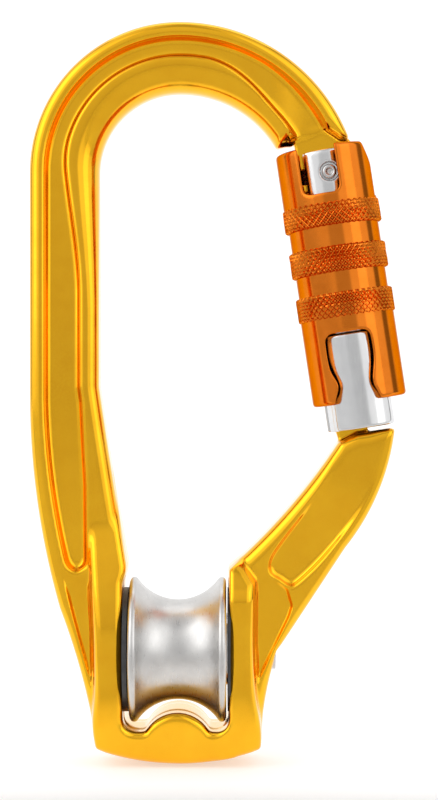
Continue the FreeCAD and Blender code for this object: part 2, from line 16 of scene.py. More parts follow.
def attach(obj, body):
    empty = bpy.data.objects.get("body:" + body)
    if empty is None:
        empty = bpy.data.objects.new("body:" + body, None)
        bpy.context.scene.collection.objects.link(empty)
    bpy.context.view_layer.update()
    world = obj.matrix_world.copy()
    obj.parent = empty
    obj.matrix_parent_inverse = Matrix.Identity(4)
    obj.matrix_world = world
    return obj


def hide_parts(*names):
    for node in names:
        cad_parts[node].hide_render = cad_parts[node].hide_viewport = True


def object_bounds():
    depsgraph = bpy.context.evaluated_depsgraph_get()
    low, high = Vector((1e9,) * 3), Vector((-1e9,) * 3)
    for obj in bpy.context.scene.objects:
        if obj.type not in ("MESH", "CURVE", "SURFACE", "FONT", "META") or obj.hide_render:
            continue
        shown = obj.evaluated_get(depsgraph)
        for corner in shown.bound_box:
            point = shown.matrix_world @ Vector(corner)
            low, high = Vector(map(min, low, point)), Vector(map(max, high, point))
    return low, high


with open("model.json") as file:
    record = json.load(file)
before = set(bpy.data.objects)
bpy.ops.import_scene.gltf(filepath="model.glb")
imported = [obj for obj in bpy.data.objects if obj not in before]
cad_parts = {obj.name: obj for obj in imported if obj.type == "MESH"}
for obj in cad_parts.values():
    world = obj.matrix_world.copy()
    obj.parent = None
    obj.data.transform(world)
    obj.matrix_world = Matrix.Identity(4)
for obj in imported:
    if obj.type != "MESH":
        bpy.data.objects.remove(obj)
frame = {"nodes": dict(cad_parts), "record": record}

CAD_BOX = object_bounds()
MM = 0.001


# ---------------------------------------------------------------- plane curves and distances


def arc(start, through, end, steps=24):
    """Points along the circular arc through three points."""
    (ax, ay), (bx, by), (cx, cy) = start, through, end
    d = 2 * (ax * (by - cy) + bx * (cy - ay) + cx * (ay - by))
    a2, b2, c2 = ax * ax + ay * ay, bx * bx + by * by, cx * cx + cy * cy
    ox = (a2 * (by - cy) + b2 * (cy - ay) + c2 * (ay - by)) / d
    oy = (a2 * (cx - bx) + b2 * (ax - cx) + c2 * (bx - ax)) / d
    radius = math.hypot(ax - ox, ay - oy)
    first = math.atan2(ay - oy, ax - ox)
    sweep = (math.atan2(cy - oy, cx - ox) - first) % (2 * math.pi)
    middle = (math.atan2(by - oy, bx - ox) - first) % (2 * math.pi)
    if middle > sweep:
        sweep -= 2 * math.pi
    angles = first + sweep * np.linspace(0, 1, steps)
    return [(ox + radius * math.cos(t), oy + radius * math.sin(t)) for t in angles]


def smooth(points, steps=10):
    """Points along a smooth curve through a few points (Catmull-Rom)."""
    p = np.array([points[0], *points, points[-1]], float)
    out = []
    for i in range(1, len(p) - 2):
        a, b, c, d = p[i - 1], p[i], p[i + 1], p[i + 2]
        for t in np.arange(steps) / steps:
            value = 2 * b + (c - a) * t + (2 * a - 5 * b + 4 * c - d) * t**2
            out.append(tuple((value + (3 * b - 3 * c + d - a) * t**3) / 2))
    return [*out, tuple(p[-2])]


def turn(centre, radius, degrees):
    """A point on a circle."""
    angle = math.radians(degrees)
    return (centre[0] + radius * math.cos(angle), centre[1] + radius * math.sin(angle))


def line_distance(x, y, points):
    """Distance from each place to an open line of points."""
    best = np.full(np.broadcast(x, y).shape, 1e9)
    for (ax, ay), (bx, by) in zip(points, points[1:]):
        ux, uy = bx - ax, by - ay
        length = ux * ux + uy * uy
        if length < 1e-12:
            continue
        t = np.clip(((x - ax) * ux + (y - ay) * uy) / length, 0, 1)
        best = np.minimum(best, (x - ax - t * ux) ** 2 + (y - ay - t * uy) ** 2)
    return np.sqrt(best)


def region(x, y, points):
    """Signed distance to a closed outline, negative inside."""
    closed = [*points, points[0]]
    inside = np.zeros(np.broadcast(x, y).shape, bool)
    for (ax, ay), (bx, by) in zip(closed, closed[1:]):
        if ay == by:
            continue
        crosses = (ay > y) != (by > y)
        inside ^= crosses & (x < (bx - ax) * (y - ay) / (by - ay) + ax)
    distance = line_distance(x, y, closed)
    return np.where(inside, -distance, distance)


# ---------------------------------------------------------------- blending solids


def least(a, b, blend):
    """Union of two solids, with a soft joint about as wide as blend."""
    h = np.clip(0.5 + 0.5 * (b - a) / blend, 0, 1)
    return b + (a - b) * h - blend * h * (1 - h)


def most(a, b, blend):
    """Intersection of two solids, with a soft edge."""
    return -least(-a, -b, blend)


def cut(a, b, blend):
    return most(a, -b, blend)


def slab(plan, height, half, radius):
    """A plate of stated half thickness over a plan, with its edges rounded."""
    a = plan + radius
    b = np.abs(height) - half + radius
    corner = np.hypot(np.maximum(a, 0), np.maximum(b, 0))
    return np.minimum(np.maximum(a, b), 0) + corner - radius


def step(value, low, high):
    """A smooth ramp from 0 at low to 1 at high."""
    t = np.clip((value - low) / (high - low), 0, 1)
    return t * t * (3 - 2 * t)


def ramp(value, *knots):
    """A line through (value, result) knots, held level beyond both ends."""
    return np.interp(value, [k[0] for k in knots], [k[1] for k in knots])


# ---------------------------------------------------------------- implicit surface to mesh


def sample(field, places):
    """Values of a grid at places given in grid steps, between its points."""
    base = np.clip(np.floor(places).astype(int), 0, np.array(field.shape) - 2)
    t = places - base
    total = 0
    for corner in np.ndindex(2, 2, 2):
        weight = np.prod(np.where(corner, t, 1 - t), axis=1)
        at = base + corner
        total = total + weight * field[at[:, 0], at[:, 1], at[:, 2]]
    return total


def implicit(solid, low, high, spacing):
    """Vertices, quads and normals of the surface where solid(x, y, z) is zero."""
    axes = [np.arange(a, b + spacing, spacing) for a, b in zip(low, high)]
    grid = np.meshgrid(*axes, indexing="ij", sparse=True)
    field = np.broadcast_to(solid(*grid), [len(a) for a in axes]).astype(np.float32)
    cells = np.array(field.shape) - 1
    total = np.zeros((*cells, 3), np.float32)
    count = np.zeros(cells, np.int16)
    crossings = []
    for axis in range(3):
        first = field.take(range(field.shape[axis] - 1), axis=axis)
        second = field.take(range(1, field.shape[axis]), axis=axis)
        where = np.nonzero((first < 0) != (second < 0))
        a, b = first[where], second[where]
        index = np.stack(where, axis=1)
        point = index.astype(np.float32)
        point[:, axis] += a / (a - b)
        others = [k for k in range(3) if k != axis]
        fits = np.ones(len(index), bool)
        for other in others:
            fits &= (index[:, other] > 0) & (index[:, other] < cells[other])
        index, point, a = index[fits], point[fits], a[fits]
        ring = []
        for du, dv in ((0, 0), (1, 0), (1, 1), (0, 1)):
            cell = index.copy()
            cell[:, others[0]] -= du
            cell[:, others[1]] -= dv
            key = tuple(cell.T)
            np.add.at(total, key, point)
            np.add.at(count, key, 1)
            ring.append(cell)
        crossings.append((ring, (a < 0) == (axis != 1)))
    used = count > 0
    number = np.full(cells, -1)
    number[used] = np.arange(used.sum())
    vertices = total[used] / count[used][:, None]
    quads = []
    for ring, forward in crossings:
        quad = np.stack([number[tuple(cell.T)] for cell in ring], axis=1)
        quads.append(np.where(forward[:, None], quad[:, ::-1], quad))
    slopes = np.gradient(field)
    for _ in range(3):
        slope = np.stack([sample(s, vertices) for s in slopes], axis=1)
        value = sample(field, vertices)[:, None]
        vertices = vertices - np.clip(value / (slope**2).sum(1, keepdims=True), -1, 1) * slope
    slope = np.stack([sample(s, vertices) for s in slopes], axis=1)
    normals = slope / np.linalg.norm(slope, axis=1, keepdims=True)
    return np.array(low) + vertices * spacing, np.concatenate(quads), normals


def mesh_piece(name, vertices, quads, normals=None, place=None):
    """A mesh object from millimetre vertices, placed by a matrix in millimetres."""
    vertices = np.asarray(vertices, float)
    if place is not None:
        turned = np.array(place.to_3x3())
        vertices = vertices @ turned.T + np.array(place.translation)
        normals = None if normals is None else normals @ turned.T
    mesh = bpy.data.meshes.new(name)
    mesh.vertices.add(len(vertices))
    mesh.vertices.foreach_set("co", (vertices * MM).astype(np.float32).ravel())
    mesh.loops.add(quads.size)
    mesh.loops.foreach_set("vertex_index", quads.astype(np.int32)[:, ::-1].ravel())
    mesh.polygons.add(len(quads))
    starts = np.arange(0, quads.size, quads.shape[1], dtype=np.int32)
    mesh.polygons.foreach_set("loop_start", starts)
    mesh.update(calc_edges=True)
    mesh.validate()
    mesh.polygons.foreach_set("use_smooth", np.ones(len(mesh.polygons), bool))
    if normals is not None:
        mesh.normals_split_custom_set_from_vertices(normals.tolist())
    piece = bpy.data.objects.new(name, mesh)
    bpy.context.scene.collection.objects.link(piece)
    return piece


def solid_piece(name, solid, low, high, spacing, place=None):
    vertices, quads, normals = implicit(solid, low, high, spacing * (1))
    return mesh_piece(name, vertices, quads, normals, place)


def lathe(name, profile, place, segments=160):
    """A closed profile of (radius, height) points turned about its own Z axis."""
    profile = np.array(profile, float)
    around = 2 * np.pi * np.arange(segments) / segments
    radius, height = profile[:, 0], profile[:, 1]
    x = radius[:, None] * np.cos(around)
    y = radius[:, None] * np.sin(around)
    z = np.broadcast_to(height[:, None], x.shape)
    vertices = np.stack([x, y, z], axis=2).reshape(-1, 3)
    rows, columns = np.meshgrid(np.arange(len(profile)), np.arange(segments), indexing="ij")
    next_row, next_column = (rows + 1) % len(profile), (columns + 1) % segments
    corners = [(rows, columns), (rows, next_column), (next_row, next_column), (next_row, columns)]
    quads = np.stack([(r * segments + c).ravel() for r, c in corners], axis=1)
    piece = mesh_piece(name, vertices, quads, place=place)
    crease = piece.modifiers.new("edges", "EDGE_SPLIT")
    crease.split_angle = math.radians(38)
    return piece


# ---------------------------------------------------------------- driving dimensions

BAR = 5.3              # half depth of the forged bar
CHEEK = 9.2            # half depth of the fork's cheeks
SHEAVE = 13.05         # radius of the sheave's rims
POCKET = (-9.75, 9.2)  # walls of the fork
AXLE, AXLE_HEAD = 3.03, 3.68
BLADE = 2.0            # half thickness of the nose plate and the hinge tongue
SPINE = (-26.64, -14.16)
CROWN_X, CROWN_TOP, BAR_WIDTH = 0.36, 113.2, 12.45
CROWN_RADIUS, NOSE_RADIUS = 27.0, 32.6
CROWN = (CROWN_X, CROWN_TOP - CROWN_RADIUS)
NOSE = (CROWN_X, CROWN_TOP - NOSE_RADIUS)
CROWN_IN, NOSE_IN = CROWN_X - SPINE[1], NOSE_RADIUS - BAR_WIDTH
SPINE_FOOT = 45.2
LEAN = math.radians(8.6)
GATE = Matrix.Translation((29.84, 0, 65.7)) @ Matrix.Rotation(-LEAN, 4, "Y")
PIVOT = (-2.6, -23.6)
LATCH = (0.36, 20.5)


def on_gate(u, w):
    """A point given across and along the gate's axis, in the frame's plane."""
    point = GATE @ Vector((u, 0, w))
    return (point.x, point.z)


# ---------------------------------------------------------------- the forged frame


def outer_line():
    """The outside of the C, from the nose over the crown to the collar on the right arm."""
    top = (CROWN_X, CROWN_TOP)
    return (
        arc(turn(NOSE, NOSE_RADIUS, 21.8), turn(NOSE, NOSE_RADIUS, 55), top, 40)
        + arc(top, turn(CROWN, CROWN_RADIUS, 135), (SPINE[0], CROWN[1]), 48)
        + arc((SPINE[0], SPINE_FOOT), (-24.95, 24.6), (-21.2, 7.7))
        + arc((-21.2, 7.7), (-17.64, -3.06), (-15.2, -13.5))
        + arc((-14.75, -16.2), (-14.6, -16.8), (-13.9, -17.3), 6)
        + arc((-13.0, -17.7), (0.1, -19.8), (13.2, -17.7))
        + arc((14.1, -17.3), (14.75, -16.9), (14.9, -16.2), 6)
        + arc((15.0, -15.0), (15.6, -9.3), (17.9, 0.1))
        + arc((30.1, 18.6), (36.1, 28.7), (39.0, 39.6))
        + [on_gate(5.1, -26.8), on_gate(4.7, -26.5)]
    )


def inner_line():
    """The inside of the C, from the collar down the arm, round the fork and up to the nose."""
    left, right = POCKET
    top = (CROWN_X, CROWN_TOP - BAR_WIDTH)
    return (
        [on_gate(-1.6, -26.5), on_gate(-4.2, -27.3)]
        + arc((28.9, 37.6), (22.9, 29.3), (11.0, 16.5))
        + [(right, 14.9)]
        + arc((right, -11.4), (right - 0.75, -13.2), (7.0, -13.9), 10)
        + arc((6.4, -13.9), (5.9, -13.8), (5.4, -13.3), 6)
        + arc((5.3, -13.2), (0, -10.45), (-5.3, -13.2))
        + arc((-5.4, -13.3), (-5.9, -13.8), (-6.4, -13.9), 6)
        + arc((-7.3, -13.9), (left + 0.75, -13.2), (left, -11.4), 10)
        + [(left, 12.6), (-9.2, 14.4)]
        + arc((-9.1, 15.6), (-11.35, 29.0), (SPINE[1], 47.5))
        + arc((SPINE[1], CROWN[1]), turn(CROWN, CROWN_IN, 135), top, 40)
        + arc(top, turn(NOSE, NOSE_IN, 60), turn(NOSE, NOSE_IN, 30), 24)
    )


def nose_end():
    """The stepped end of the bar, just above the sleeve."""
    return [on_gate(-6.4, 26.6), on_gate(-5.4, 26.5), on_gate(-4.8, 27.0), on_gate(1.0, 28.2),
            on_gate(2.4, 27.0), on_gate(3.2, 26.2), on_gate(4.7, 26.0)]


def nose_plate():
    """The thin plate that enters the gate's head, with the hook notch for the latch pin."""
    x, z = LATCH
    reach = 1.3
    hook = [turn((x, z), reach, angle) for angle in range(-90, 91, 15)]
    corners = [(-4.9, z + reach), (-4.9, 29), (3.2, 29), (5.6, 25.2), (5.6, 17.9), (5.3, 17.6),
               (-4.6, 17.6), (-4.9, 17.9), (-4.9, z - reach)]
    return [on_gate(*corner) for corner in [*hook, *corners]]


def tongue():
    """The thin plate that the gate's foot turns on, placed round the hinge pin."""
    x, z = PIVOT
    offsets = [(-2.3, -4.4), (-2.9, 0), (-2.2, 4.0), (-0.6, 4.4), (1.8, 3.0), (3.0, 2.2),
               (3.2, -4.4)]
    return [on_gate(x + dx, z + dz) for dx, dz in offsets]


def fork_zone():
    """Where the frame stands proud beside and under the sheave."""
    left = smooth([(-15.7, 40.0), (-16.4, 34.0), (-15.8, 16.0), (-15.1, 0), (-15.3, -10.0),
                   (-17.5, -20.0)])
    right = smooth([(17.5, -20.0), (14.6, -10.0), (13.8, 0), (14.1, 12.6)])
    return left + [(-17.5, -24.0), (17.5, -24.0)] + right + [(11.6, 16.4), (8, 24), (-8, 40.0)]


def channel_plan(x, z, outer, inner):
    """The channel of the H section: a set width of flange is left on each side of it."""
    flange_out = ramp(z, (14, 3.1), (45, 2.7))
    spine_side = ramp(z, (15, 7.1), (30, 4.8), (45, 3.3)) + 2.7 * step(z, 64, 93)
    angle = np.degrees(np.arctan2(z - NOSE[1], x - NOSE[0]))
    nose_side = 6.0 - 2.6 * step(-angle, -80, -42)
    flange_in = np.where((x > 0) & (z > 60), nose_side, spine_side)
    plan = most(flange_out - outer, flange_in - inner, 0.8)
    plan = most(plan, 14.2 - z, 2.4)
    side = region(x, z, [(-40, 12), (-13, 12), (-13, 60), (0, 96), (24, 84), (40, 100),
                         (40, 130), (-40, 130)])
    return most(plan, side, 0.5)


def arm_plan(x, z):
    """The channel of the right arm: round at its lower end and opening on to a flat plate."""
    outline = smooth([(18.3, 13.0), (16.6, 14.2), (16.5, 16.6), (18.6, 20.0), (23.2, 26.0),
                      (26.4, 31.0), (28.0, 36.0), (28.6, 44.0), (40.0, 44.0), (38.2, 36.0),
                      (35.6, 30.0), (31.4, 23.6), (26.0, 16.8), (21.4, 12.4), (19.9, 12.0),
                      (18.3, 13.0)])
    return region(x, z, outline)


# Shallow hollows beside the fork, one on the left and one on the right.
WEBS = (
    [(-21.9, 19.6), (-16.4, 18.2), (-15.6, 4.0), (-15.4, -6.0), (-18.7, 6.6)],
    [(14.2, 15.6), (14.2, 2.0), (14.4, -5.2), (19.9, 6.4), (20.5, 8.4), (19.6, 11.4)],
)


def frame_solid(x, y, z):
    """The whole forging: the bar with its channels, the proud fork, the nose plate and the tongue."""
    outer_points, inner_points, end_points = outer_line(), inner_line(), nose_end()
    outline = region(x, z, outer_points + inner_points + end_points)
    outer = line_distance(x, z, outer_points)
    inner = line_distance(x, z, inner_points)
    inner_round = 2.4 + 2.4 * step(z, 60, 92)
    rounding = inner_round + (2.0 - inner_round) * step(inner / (inner + outer + 0.01), 0.3, 0.7)
    bar = slab(outline, y, BAR, rounding)

    channel = channel_plan(x, z, outer, inner)
    floor = 3.1 - 1.1 * step(x, 14, 26) * step(z, 70, 92)
    draft = 0.22 * np.maximum(BAR - np.abs(y), 0)
    bar = cut(bar, most(channel + draft, floor - np.abs(y), 0.7), 0.45)
    arm = arm_plan(x, z)
    arm_floor = 4.1 + 0.95 * step(z + 0.4 * x, 26, 42)
    bar = cut(bar, most(arm + draft, arm_floor - np.abs(y), 0.8), 0.5)
    for corners in WEBS:
        web = region(x, z, corners)
        web_floor = 4.35 + 1.2 * step(z, 8, 17)
        bar = cut(bar, most(web + 0.5 * draft, web_floor - np.abs(y), 0.4), 0.4)

    zone = region(x, z, fork_zone())
    crest = CHEEK + 0.15 - ((z + 1.0) / 11.5) ** 2
    left_depth = least(crest, ramp(z, (5, 9.3), (39, BAR - 0.1)), 0.5)
    right_depth = least(CHEEK - 0.2 * (np.maximum(-1.0 - z, 0) / 5.5) ** 2,
                        ramp(z, (9.5, 9.6), (17.5, BAR - 0.1)), 0.7)
    depth = left_depth + (right_depth - left_depth) * step(x, -2, 2)
    proud = most(outline, zone + 0.12 * (np.abs(y) - BAR), 1.2)
    edge = 1.4 - 0.6 * step(x, 6, 9) * (1 - step(x, 10, 11))
    forging = least(bar, slab(proud, y, depth, edge), 0.5)

    plate = slab(region(x, z, nose_plate()), y, BLADE, 0.25)
    lug = slab(region(x, z, tongue()), y, BLADE, 0.2)
    forging = least(forging, plate, 0.35)
    forging = least(forging, lug, 0.35)
    seat = np.maximum(np.hypot(y, z) - AXLE_HEAD, 16.3 - x)
    bore = np.maximum(np.hypot(y, z) - AXLE, -14.6 - x)
    return cut(cut(forging, seat, 0.2), bore, 0.2)


def make_frame():
    low, high = (-27.4, -9.8, -20.6), (40.0, 9.8, 114.0)
    piece = solid_piece("frame_forging", frame_solid, low, high, 0.36)
    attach(piece, "frame")
    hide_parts("frame")
    return piece


# ---------------------------------------------------------------- gate

GATE_WIDE, GATE_NECK = 7.12, 6.33
GATE_FOOT, GATE_TOP = -26.2, 24.7
HEAD_FLATS = 17.3      # height above which the head is flat on both sides
FORK_HALF = 2.3        # half width of the slots for the nose plate and the tongue


def pad_plan(u, w):
    """The raised face that shows through the sleeve's notch and spreads out at the foot."""
    left = smooth([(-3.6, -7.0), (-4.6, -8.8), (-4.75, -13.0), (-3.75, -17.0), (-3.9, -19.0),
                   (-5.0, -20.3), (-5.15, -22.0), (-5.15, -25.4), (-4.4, -25.8)], 6)
    right = smooth([(4.2, -25.6), (4.85, -25.0), (4.9, -22.0), (4.6, -20.4), (2.7, -19.0),
                    (2.1, -17.2), (2.8, -13.0), (2.75, -8.8), (1.8, -7.0)], 6)
    return region(u, w, left + right)


def gate_solid(u, y, w):
    """A round bar with a forked head and foot, the pad in front and the latch pin's hole."""
    reach = np.hypot(u, y)
    wide = most(reach - GATE_WIDE, np.maximum(w + 8.5, GATE_FOOT - w), 0.35)
    neck = most(reach - GATE_NECK, np.maximum(w - GATE_TOP, -8.6 - w), 0.9)
    body = least(wide, neck, 0.2)
    left_side = region(u, w, [(-6.84, GATE_FOOT), (20, GATE_FOOT), (20, 40), (-6.84, 40)])
    left_rounding = slab(left_side, 0 * y, 1.0, 2.4)
    body = most(body, left_rounding, 0.2)
    beside_pad = np.maximum(np.maximum(-pad_plan(u, w), w + 9.0), y)
    body = cut(body, np.maximum(6.75 - reach, beside_pad), 0.2)
    body = cut(body, np.maximum(5.5 - u, w + 20.3), 0.9)
    above_flats = HEAD_FLATS - w
    body = cut(body, np.maximum(u + 3.9, above_flats), 0.5)
    body = cut(body, np.maximum(6.0 - u, above_flats), 0.5)
    around_pin = np.hypot(u - LATCH[0], w - LATCH[1])
    body = cut(body, np.maximum(around_pin - 1.72, 5.55 - np.abs(y)), 0.2)
    slot = np.abs(y) - FORK_HALF
    body = cut(body, np.maximum(slot, 16.0 - w), 0.25)
    return cut(body, np.maximum(slot, w + 18.75), 0.25)


def make_gate():
    piece = solid_piece("gate_bar", gate_solid, (-7.6, -7.6, -26.9), (7.6, 7.6, 25.4), 0.22, GATE)
    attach(piece, "gate")
    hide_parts("gate_body")
    return piece


# ---------------------------------------------------------------- locking sleeve

RINGS = ((15.1, 10.8), (7.2, 2.5), (-1.1, -5.6))
PLAIN, WAIST, RING, BORE = 8.5, 8.15, 8.82, 7.2
SLEEVE_TOP, SLEEVE_LOW = 25.2, -20.9
INNER_LEDGE = 6.4      # bore of the ledge inside the sleeve


def sleeve_solid(u, y, w):
    """The tube: window above, keyhole notch below and a narrow slot on the side off the opening."""
    reach = np.hypot(u, y)
    body = np.where(w > 13, PLAIN, np.where(w < -3, PLAIN, WAIST))
    shell = most(reach - body, np.maximum(w - SLEEVE_TOP, SLEEVE_LOW - w), 0.7)
    bore = reach - BORE
    bore = np.where((w > 7.7) & (w < 8.7), reach - INNER_LEDGE, bore)
    shell = cut(shell, bore, 0.3)
    window = smooth([(-4.86, 30), (-4.86, 22), (-4.86, 18.2), (-4.5, 17.1), (-3.5, 16.7),
                     (-1.6, 16.7), (0.4, 16.7), (1.3, 17.1), (1.62, 18.2), (1.62, 22), (1.62, 30)])
    notch = smooth([(-5.4, -24), (-4.75, -20.4), (-3.9, -17.6), (-4.9, -14.4), (-5.0, -10.0),
                    (-4.6, -8.8), (-3.6, -8.3), (-1.0, -8.3), (1.8, -8.3), (2.75, -8.8),
                    (3.1, -10.0), (3.05, -13.6), (2.3, -17.6), (3.1, -20.2), (4.2, -24)])
    for outline in (window, notch):
        shell = cut(shell, np.maximum(region(u, w, outline), y), 0.3)
    slot = np.maximum(np.maximum(np.abs(y) - 2.35, 15.6 - w), -u)
    shell = cut(shell, slot, 0.3)
    right_corner = (u - 6.8) * 0.94 + (w - 25.0) * 0.34
    return most(shell, right_corner - 0.1, 0.4)


def make_ring(number, top, low):
    """A knurled ring: crossed ridges over a grid laid along both sets of ridges."""
    teeth, fine, depth = 46, 8, 0.42
    around = teeth * fine
    pitch = 2 * math.pi * RING / teeth
    rows = 2 * round((top - low) / pitch * fine / 2)
    turns = 2 * np.pi * np.arange(around) / around
    heights = np.linspace(low, top, rows + 1)
    angle, height = np.meshgrid(turns, heights)
    along = (height - low) / pitch
    across = angle * teeth / (2 * np.pi)
    rising = 1 - np.abs((across + along) % 1 - 0.5) * 2
    falling = 1 - np.abs((across - along) % 1 - 0.5) * 2
    ridge = np.maximum(rising, falling)
    edge = np.minimum(height - low, top - height)
    bevel = 0.4 * np.clip(1 - edge / 0.35, 0, 1) ** 2
    reach = RING - depth * np.clip(2.0 - 2.15 * ridge, 0, 1) - bevel
    inside = np.full((2, around), WAIST - 0.45)
    reach = np.concatenate([reach, inside])
    height = np.concatenate([height, np.full((1, around), top), np.full((1, around), low)])
    angle = np.concatenate([angle, angle[:2]])
    vertices = np.stack([reach * np.cos(angle), reach * np.sin(angle), height], 2).reshape(-1, 3)
    row, column = np.meshgrid(np.arange(len(reach)), np.arange(around), indexing="ij")
    up, right = (row + 1) % len(reach), (column + 1) % around
    corners = [(row, column), (row, right), (up, right), (up, column)]
    quads = np.stack([(r * around + c).ravel() for r, c in corners], axis=1)
    piece = mesh_piece(f"sleeve_ring_{number}", vertices, quads[:, ::-1], place=GATE)
    crease = piece.modifiers.new("edges", "EDGE_SPLIT")
    crease.split_angle = math.radians(30)
    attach(piece, "sleeve")
    return piece


def make_sleeve():
    piece = solid_piece("sleeve_tube", sleeve_solid, (-9.3, -9.3, -21.6), (9.3, 9.3, 25.9), 0.25,
                        GATE)
    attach(piece, "sleeve")
    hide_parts("locking_sleeve")
    return piece


# ---------------------------------------------------------------- sheave and small round pieces

ALONG_X = Matrix.Rotation(math.pi / 2, 4, "Y")


def make_sheave():
    """The wheel: a concave tread, rounded rims and faces relieved round the bearings."""
    half, tread, groove, bore = 8.7, 9.0, 9.0, 6.5
    lip, rim_round = 7.2, 0.7
    floor = groove + tread
    edge = floor - math.sqrt(groove**2 - lip**2)
    tread_line = [(floor - math.sqrt(groove**2 - t * t), t) for t in np.linspace(-lip, lip, 48)]
    rim = smooth([(edge, lip), (SHEAVE - 0.12, lip + 0.3), (SHEAVE, lip + 0.75),
                  (SHEAVE - 0.18, half - 0.28), (SHEAVE - rim_round, half)], 6)
    face = [(11.6, half), (11.3, half - 0.35), (8.2, half - 0.35), (7.9, half), (bore + 0.15, half),
            (bore, half - 0.15)]
    upper = rim + face
    lower = [(radius, -height) for radius, height in reversed(upper)]
    piece = lathe("sheave_wheel", [*tread_line, *upper, *lower], ALONG_X, 256)
    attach(piece, "sheave")
    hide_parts("sheave")
    return piece


def make_rivet():
    """The latch pin with its turned rim, flush with the front and back of the gate's head."""
    u, w = LATCH
    end = 6.16
    half_profile = smooth([(0.0005, end - 0.32), (0.42, end - 0.3), (0.66, end - 0.08),
                           (0.9, end), (1.2, end - 0.12), (1.38, end - 0.4)], 5)
    profile = half_profile + [(1.38, 5.3), (0.98, 5.1)]
    profile += [(radius, -height) for radius, height in reversed(profile)]
    place = GATE @ Matrix.Translation((u, 0, w)) @ Matrix.Rotation(math.pi / 2, 4, "X")
    piece = lathe("latch_rivet", profile, place, 64)
    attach(piece, "gate")
    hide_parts("latch_pin")
    return piece


# ---------------------------------------------------------------- materials


def new_material(name):
    material = bpy.data.materials.new(name)
    material.use_nodes = True
    nodes, links = material.node_tree.nodes, material.node_tree.links
    return material, nodes, links, nodes["Principled BSDF"]


def noise(nodes, links, scale, stretch=(1, 1, 1)):
    """A noise texture fixed to the piece, with its scale per axis."""
    place = nodes.new("ShaderNodeTexCoord")
    mapping = nodes.new("ShaderNodeMapping")
    mapping.inputs["Scale"].default_value = stretch
    texture = nodes.new("ShaderNodeTexNoise")
    texture.inputs["Scale"].default_value = scale
    texture.inputs["Detail"].default_value = 3.0
    links.new(place.outputs["Object"], mapping.inputs["Vector"])
    links.new(mapping.outputs["Vector"], texture.inputs["Vector"])
    return texture


def spread(nodes, links, source, low, high):
    """Map the middle of a texture's range, 0.3 to 0.7, to a range of values."""
    node = nodes.new("ShaderNodeMapRange")
    node.inputs["From Min"].default_value = 0.3
    node.inputs["From Max"].default_value = 0.7
    node.inputs["To Min"].default_value = low
    node.inputs["To Max"].default_value = high
    links.new(source.outputs["Fac"], node.inputs["Value"])
    return node


def mix_colours(nodes, links, source, first, second):
    node = nodes.new("ShaderNodeMix")
    node.data_type = "RGBA"
    node.inputs["A"].default_value = (*first, 1)
    node.inputs["B"].default_value = (*second, 1)
    links.new(source.outputs[0], node.inputs["Factor"])
    return node


def bump(nodes, links, source, distance, strength, shader):
    """Raise the surface a little by a texture."""
    node = nodes.new("ShaderNodeBump")
    node.inputs["Distance"].default_value = distance
    node.inputs["Strength"].default_value = strength
    links.new(source.outputs["Fac"], node.inputs["Height"])
    links.new(node.outputs["Normal"], shader.inputs["Normal"])


def metal(name, first, second, rough, patch=900.0, grain=5200.0, grain_stretch=(1, 1, 1),
          grain_depth=0.00001, grain_strength=0.12, metallic=1.0, coat=0.0, edge=(1, 1, 1)):
    """A metal with soft patches of tone and roughness and a fine grain."""
    material, nodes, links, shader = new_material(name)
    shader.inputs["Metallic"].default_value = metallic
    shader.inputs["Coat Weight"].default_value = coat
    shader.inputs["Coat Roughness"].default_value = 0.08
    shader.inputs["Specular Tint"].default_value = (*edge, 1)
    patches = noise(nodes, links, patch)
    colour = mix_colours(nodes, links, spread(nodes, links, patches, 0, 1), first, second)
    links.new(colour.outputs["Result"], shader.inputs["Base Color"])
    fine = noise(nodes, links, grain, grain_stretch)
    roughness = spread(nodes, links, fine, rough[0], rough[1])
    links.new(roughness.outputs["Result"], shader.inputs["Roughness"])
    bump(nodes, links, fine, grain_depth, grain_strength, shader)
    return material


def make_materials():
    return {
        "gold_anodised": metal("anodised_gold", (0.97, 0.505, 0.010), (0.93, 0.465, 0.007),
                               (0.10, 0.17), patch=260, grain=3200, grain_strength=0.08, coat=0.3),
        "orange_anodised": metal("anodised_orange", (0.78, 0.203, 0.019), (0.72, 0.180, 0.015),
                                 (0.08, 0.15), patch=400, grain=5200, edge=(0.7, 0.45, 0.3),
                                 grain_stretch=(0.12, 0.12, 1.6), grain_strength=0.08),
        "silver_gate": metal("polished_silver", (0.76, 0.76, 0.76), (0.70, 0.70, 0.71),
                             (0.12, 0.20), patch=300, grain=3000, grain_stretch=(1, 1, 0.12),
                             grain_strength=0.08),
        "silver_sheave": metal("turned_silver", (0.68, 0.67, 0.655), (0.57, 0.56, 0.55),
                               (0.26, 0.38), patch=220, grain=2600, grain_stretch=(3.2, 0.3, 0.3),
                               grain_strength=0.2, grain_depth=0.00002),
        "pin_steel": metal("ground_steel", (0.66, 0.65, 0.64), (0.55, 0.54, 0.53), (0.2, 0.34)),
        "bearing_steel": metal("bearing_steel", (0.72, 0.72, 0.74), (0.62, 0.62, 0.64),
                               (0.1, 0.2)),
        "spring_steel": metal("spring_wire", (0.55, 0.55, 0.56), (0.42, 0.42, 0.43), (0.28, 0.4)),
        "cage_plastic": metal("cage_nylon", (0.22, 0.15, 0.09), (0.17, 0.12, 0.07), (0.45, 0.6),
                              metallic=0.0),
        "shield_rubber": metal("seal_rubber", (0.02, 0.02, 0.02), (0.035, 0.034, 0.033),
                               (0.5, 0.68), metallic=0.0),
        "carrier_plastic": metal("carrier_acetal", (0.03, 0.03, 0.032), (0.05, 0.05, 0.05),
                                 (0.35, 0.5), metallic=0.0),
    }


def dress(materials):
    """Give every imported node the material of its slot."""
    slots = {part["node"]: part["material_slot"] for part in frame["record"]["subparts"]}
    for node, thing in frame["nodes"].items():
        thing.data.materials.clear()
        thing.data.materials.append(materials[slots[node]])


# ---------------------------------------------------------------- studio


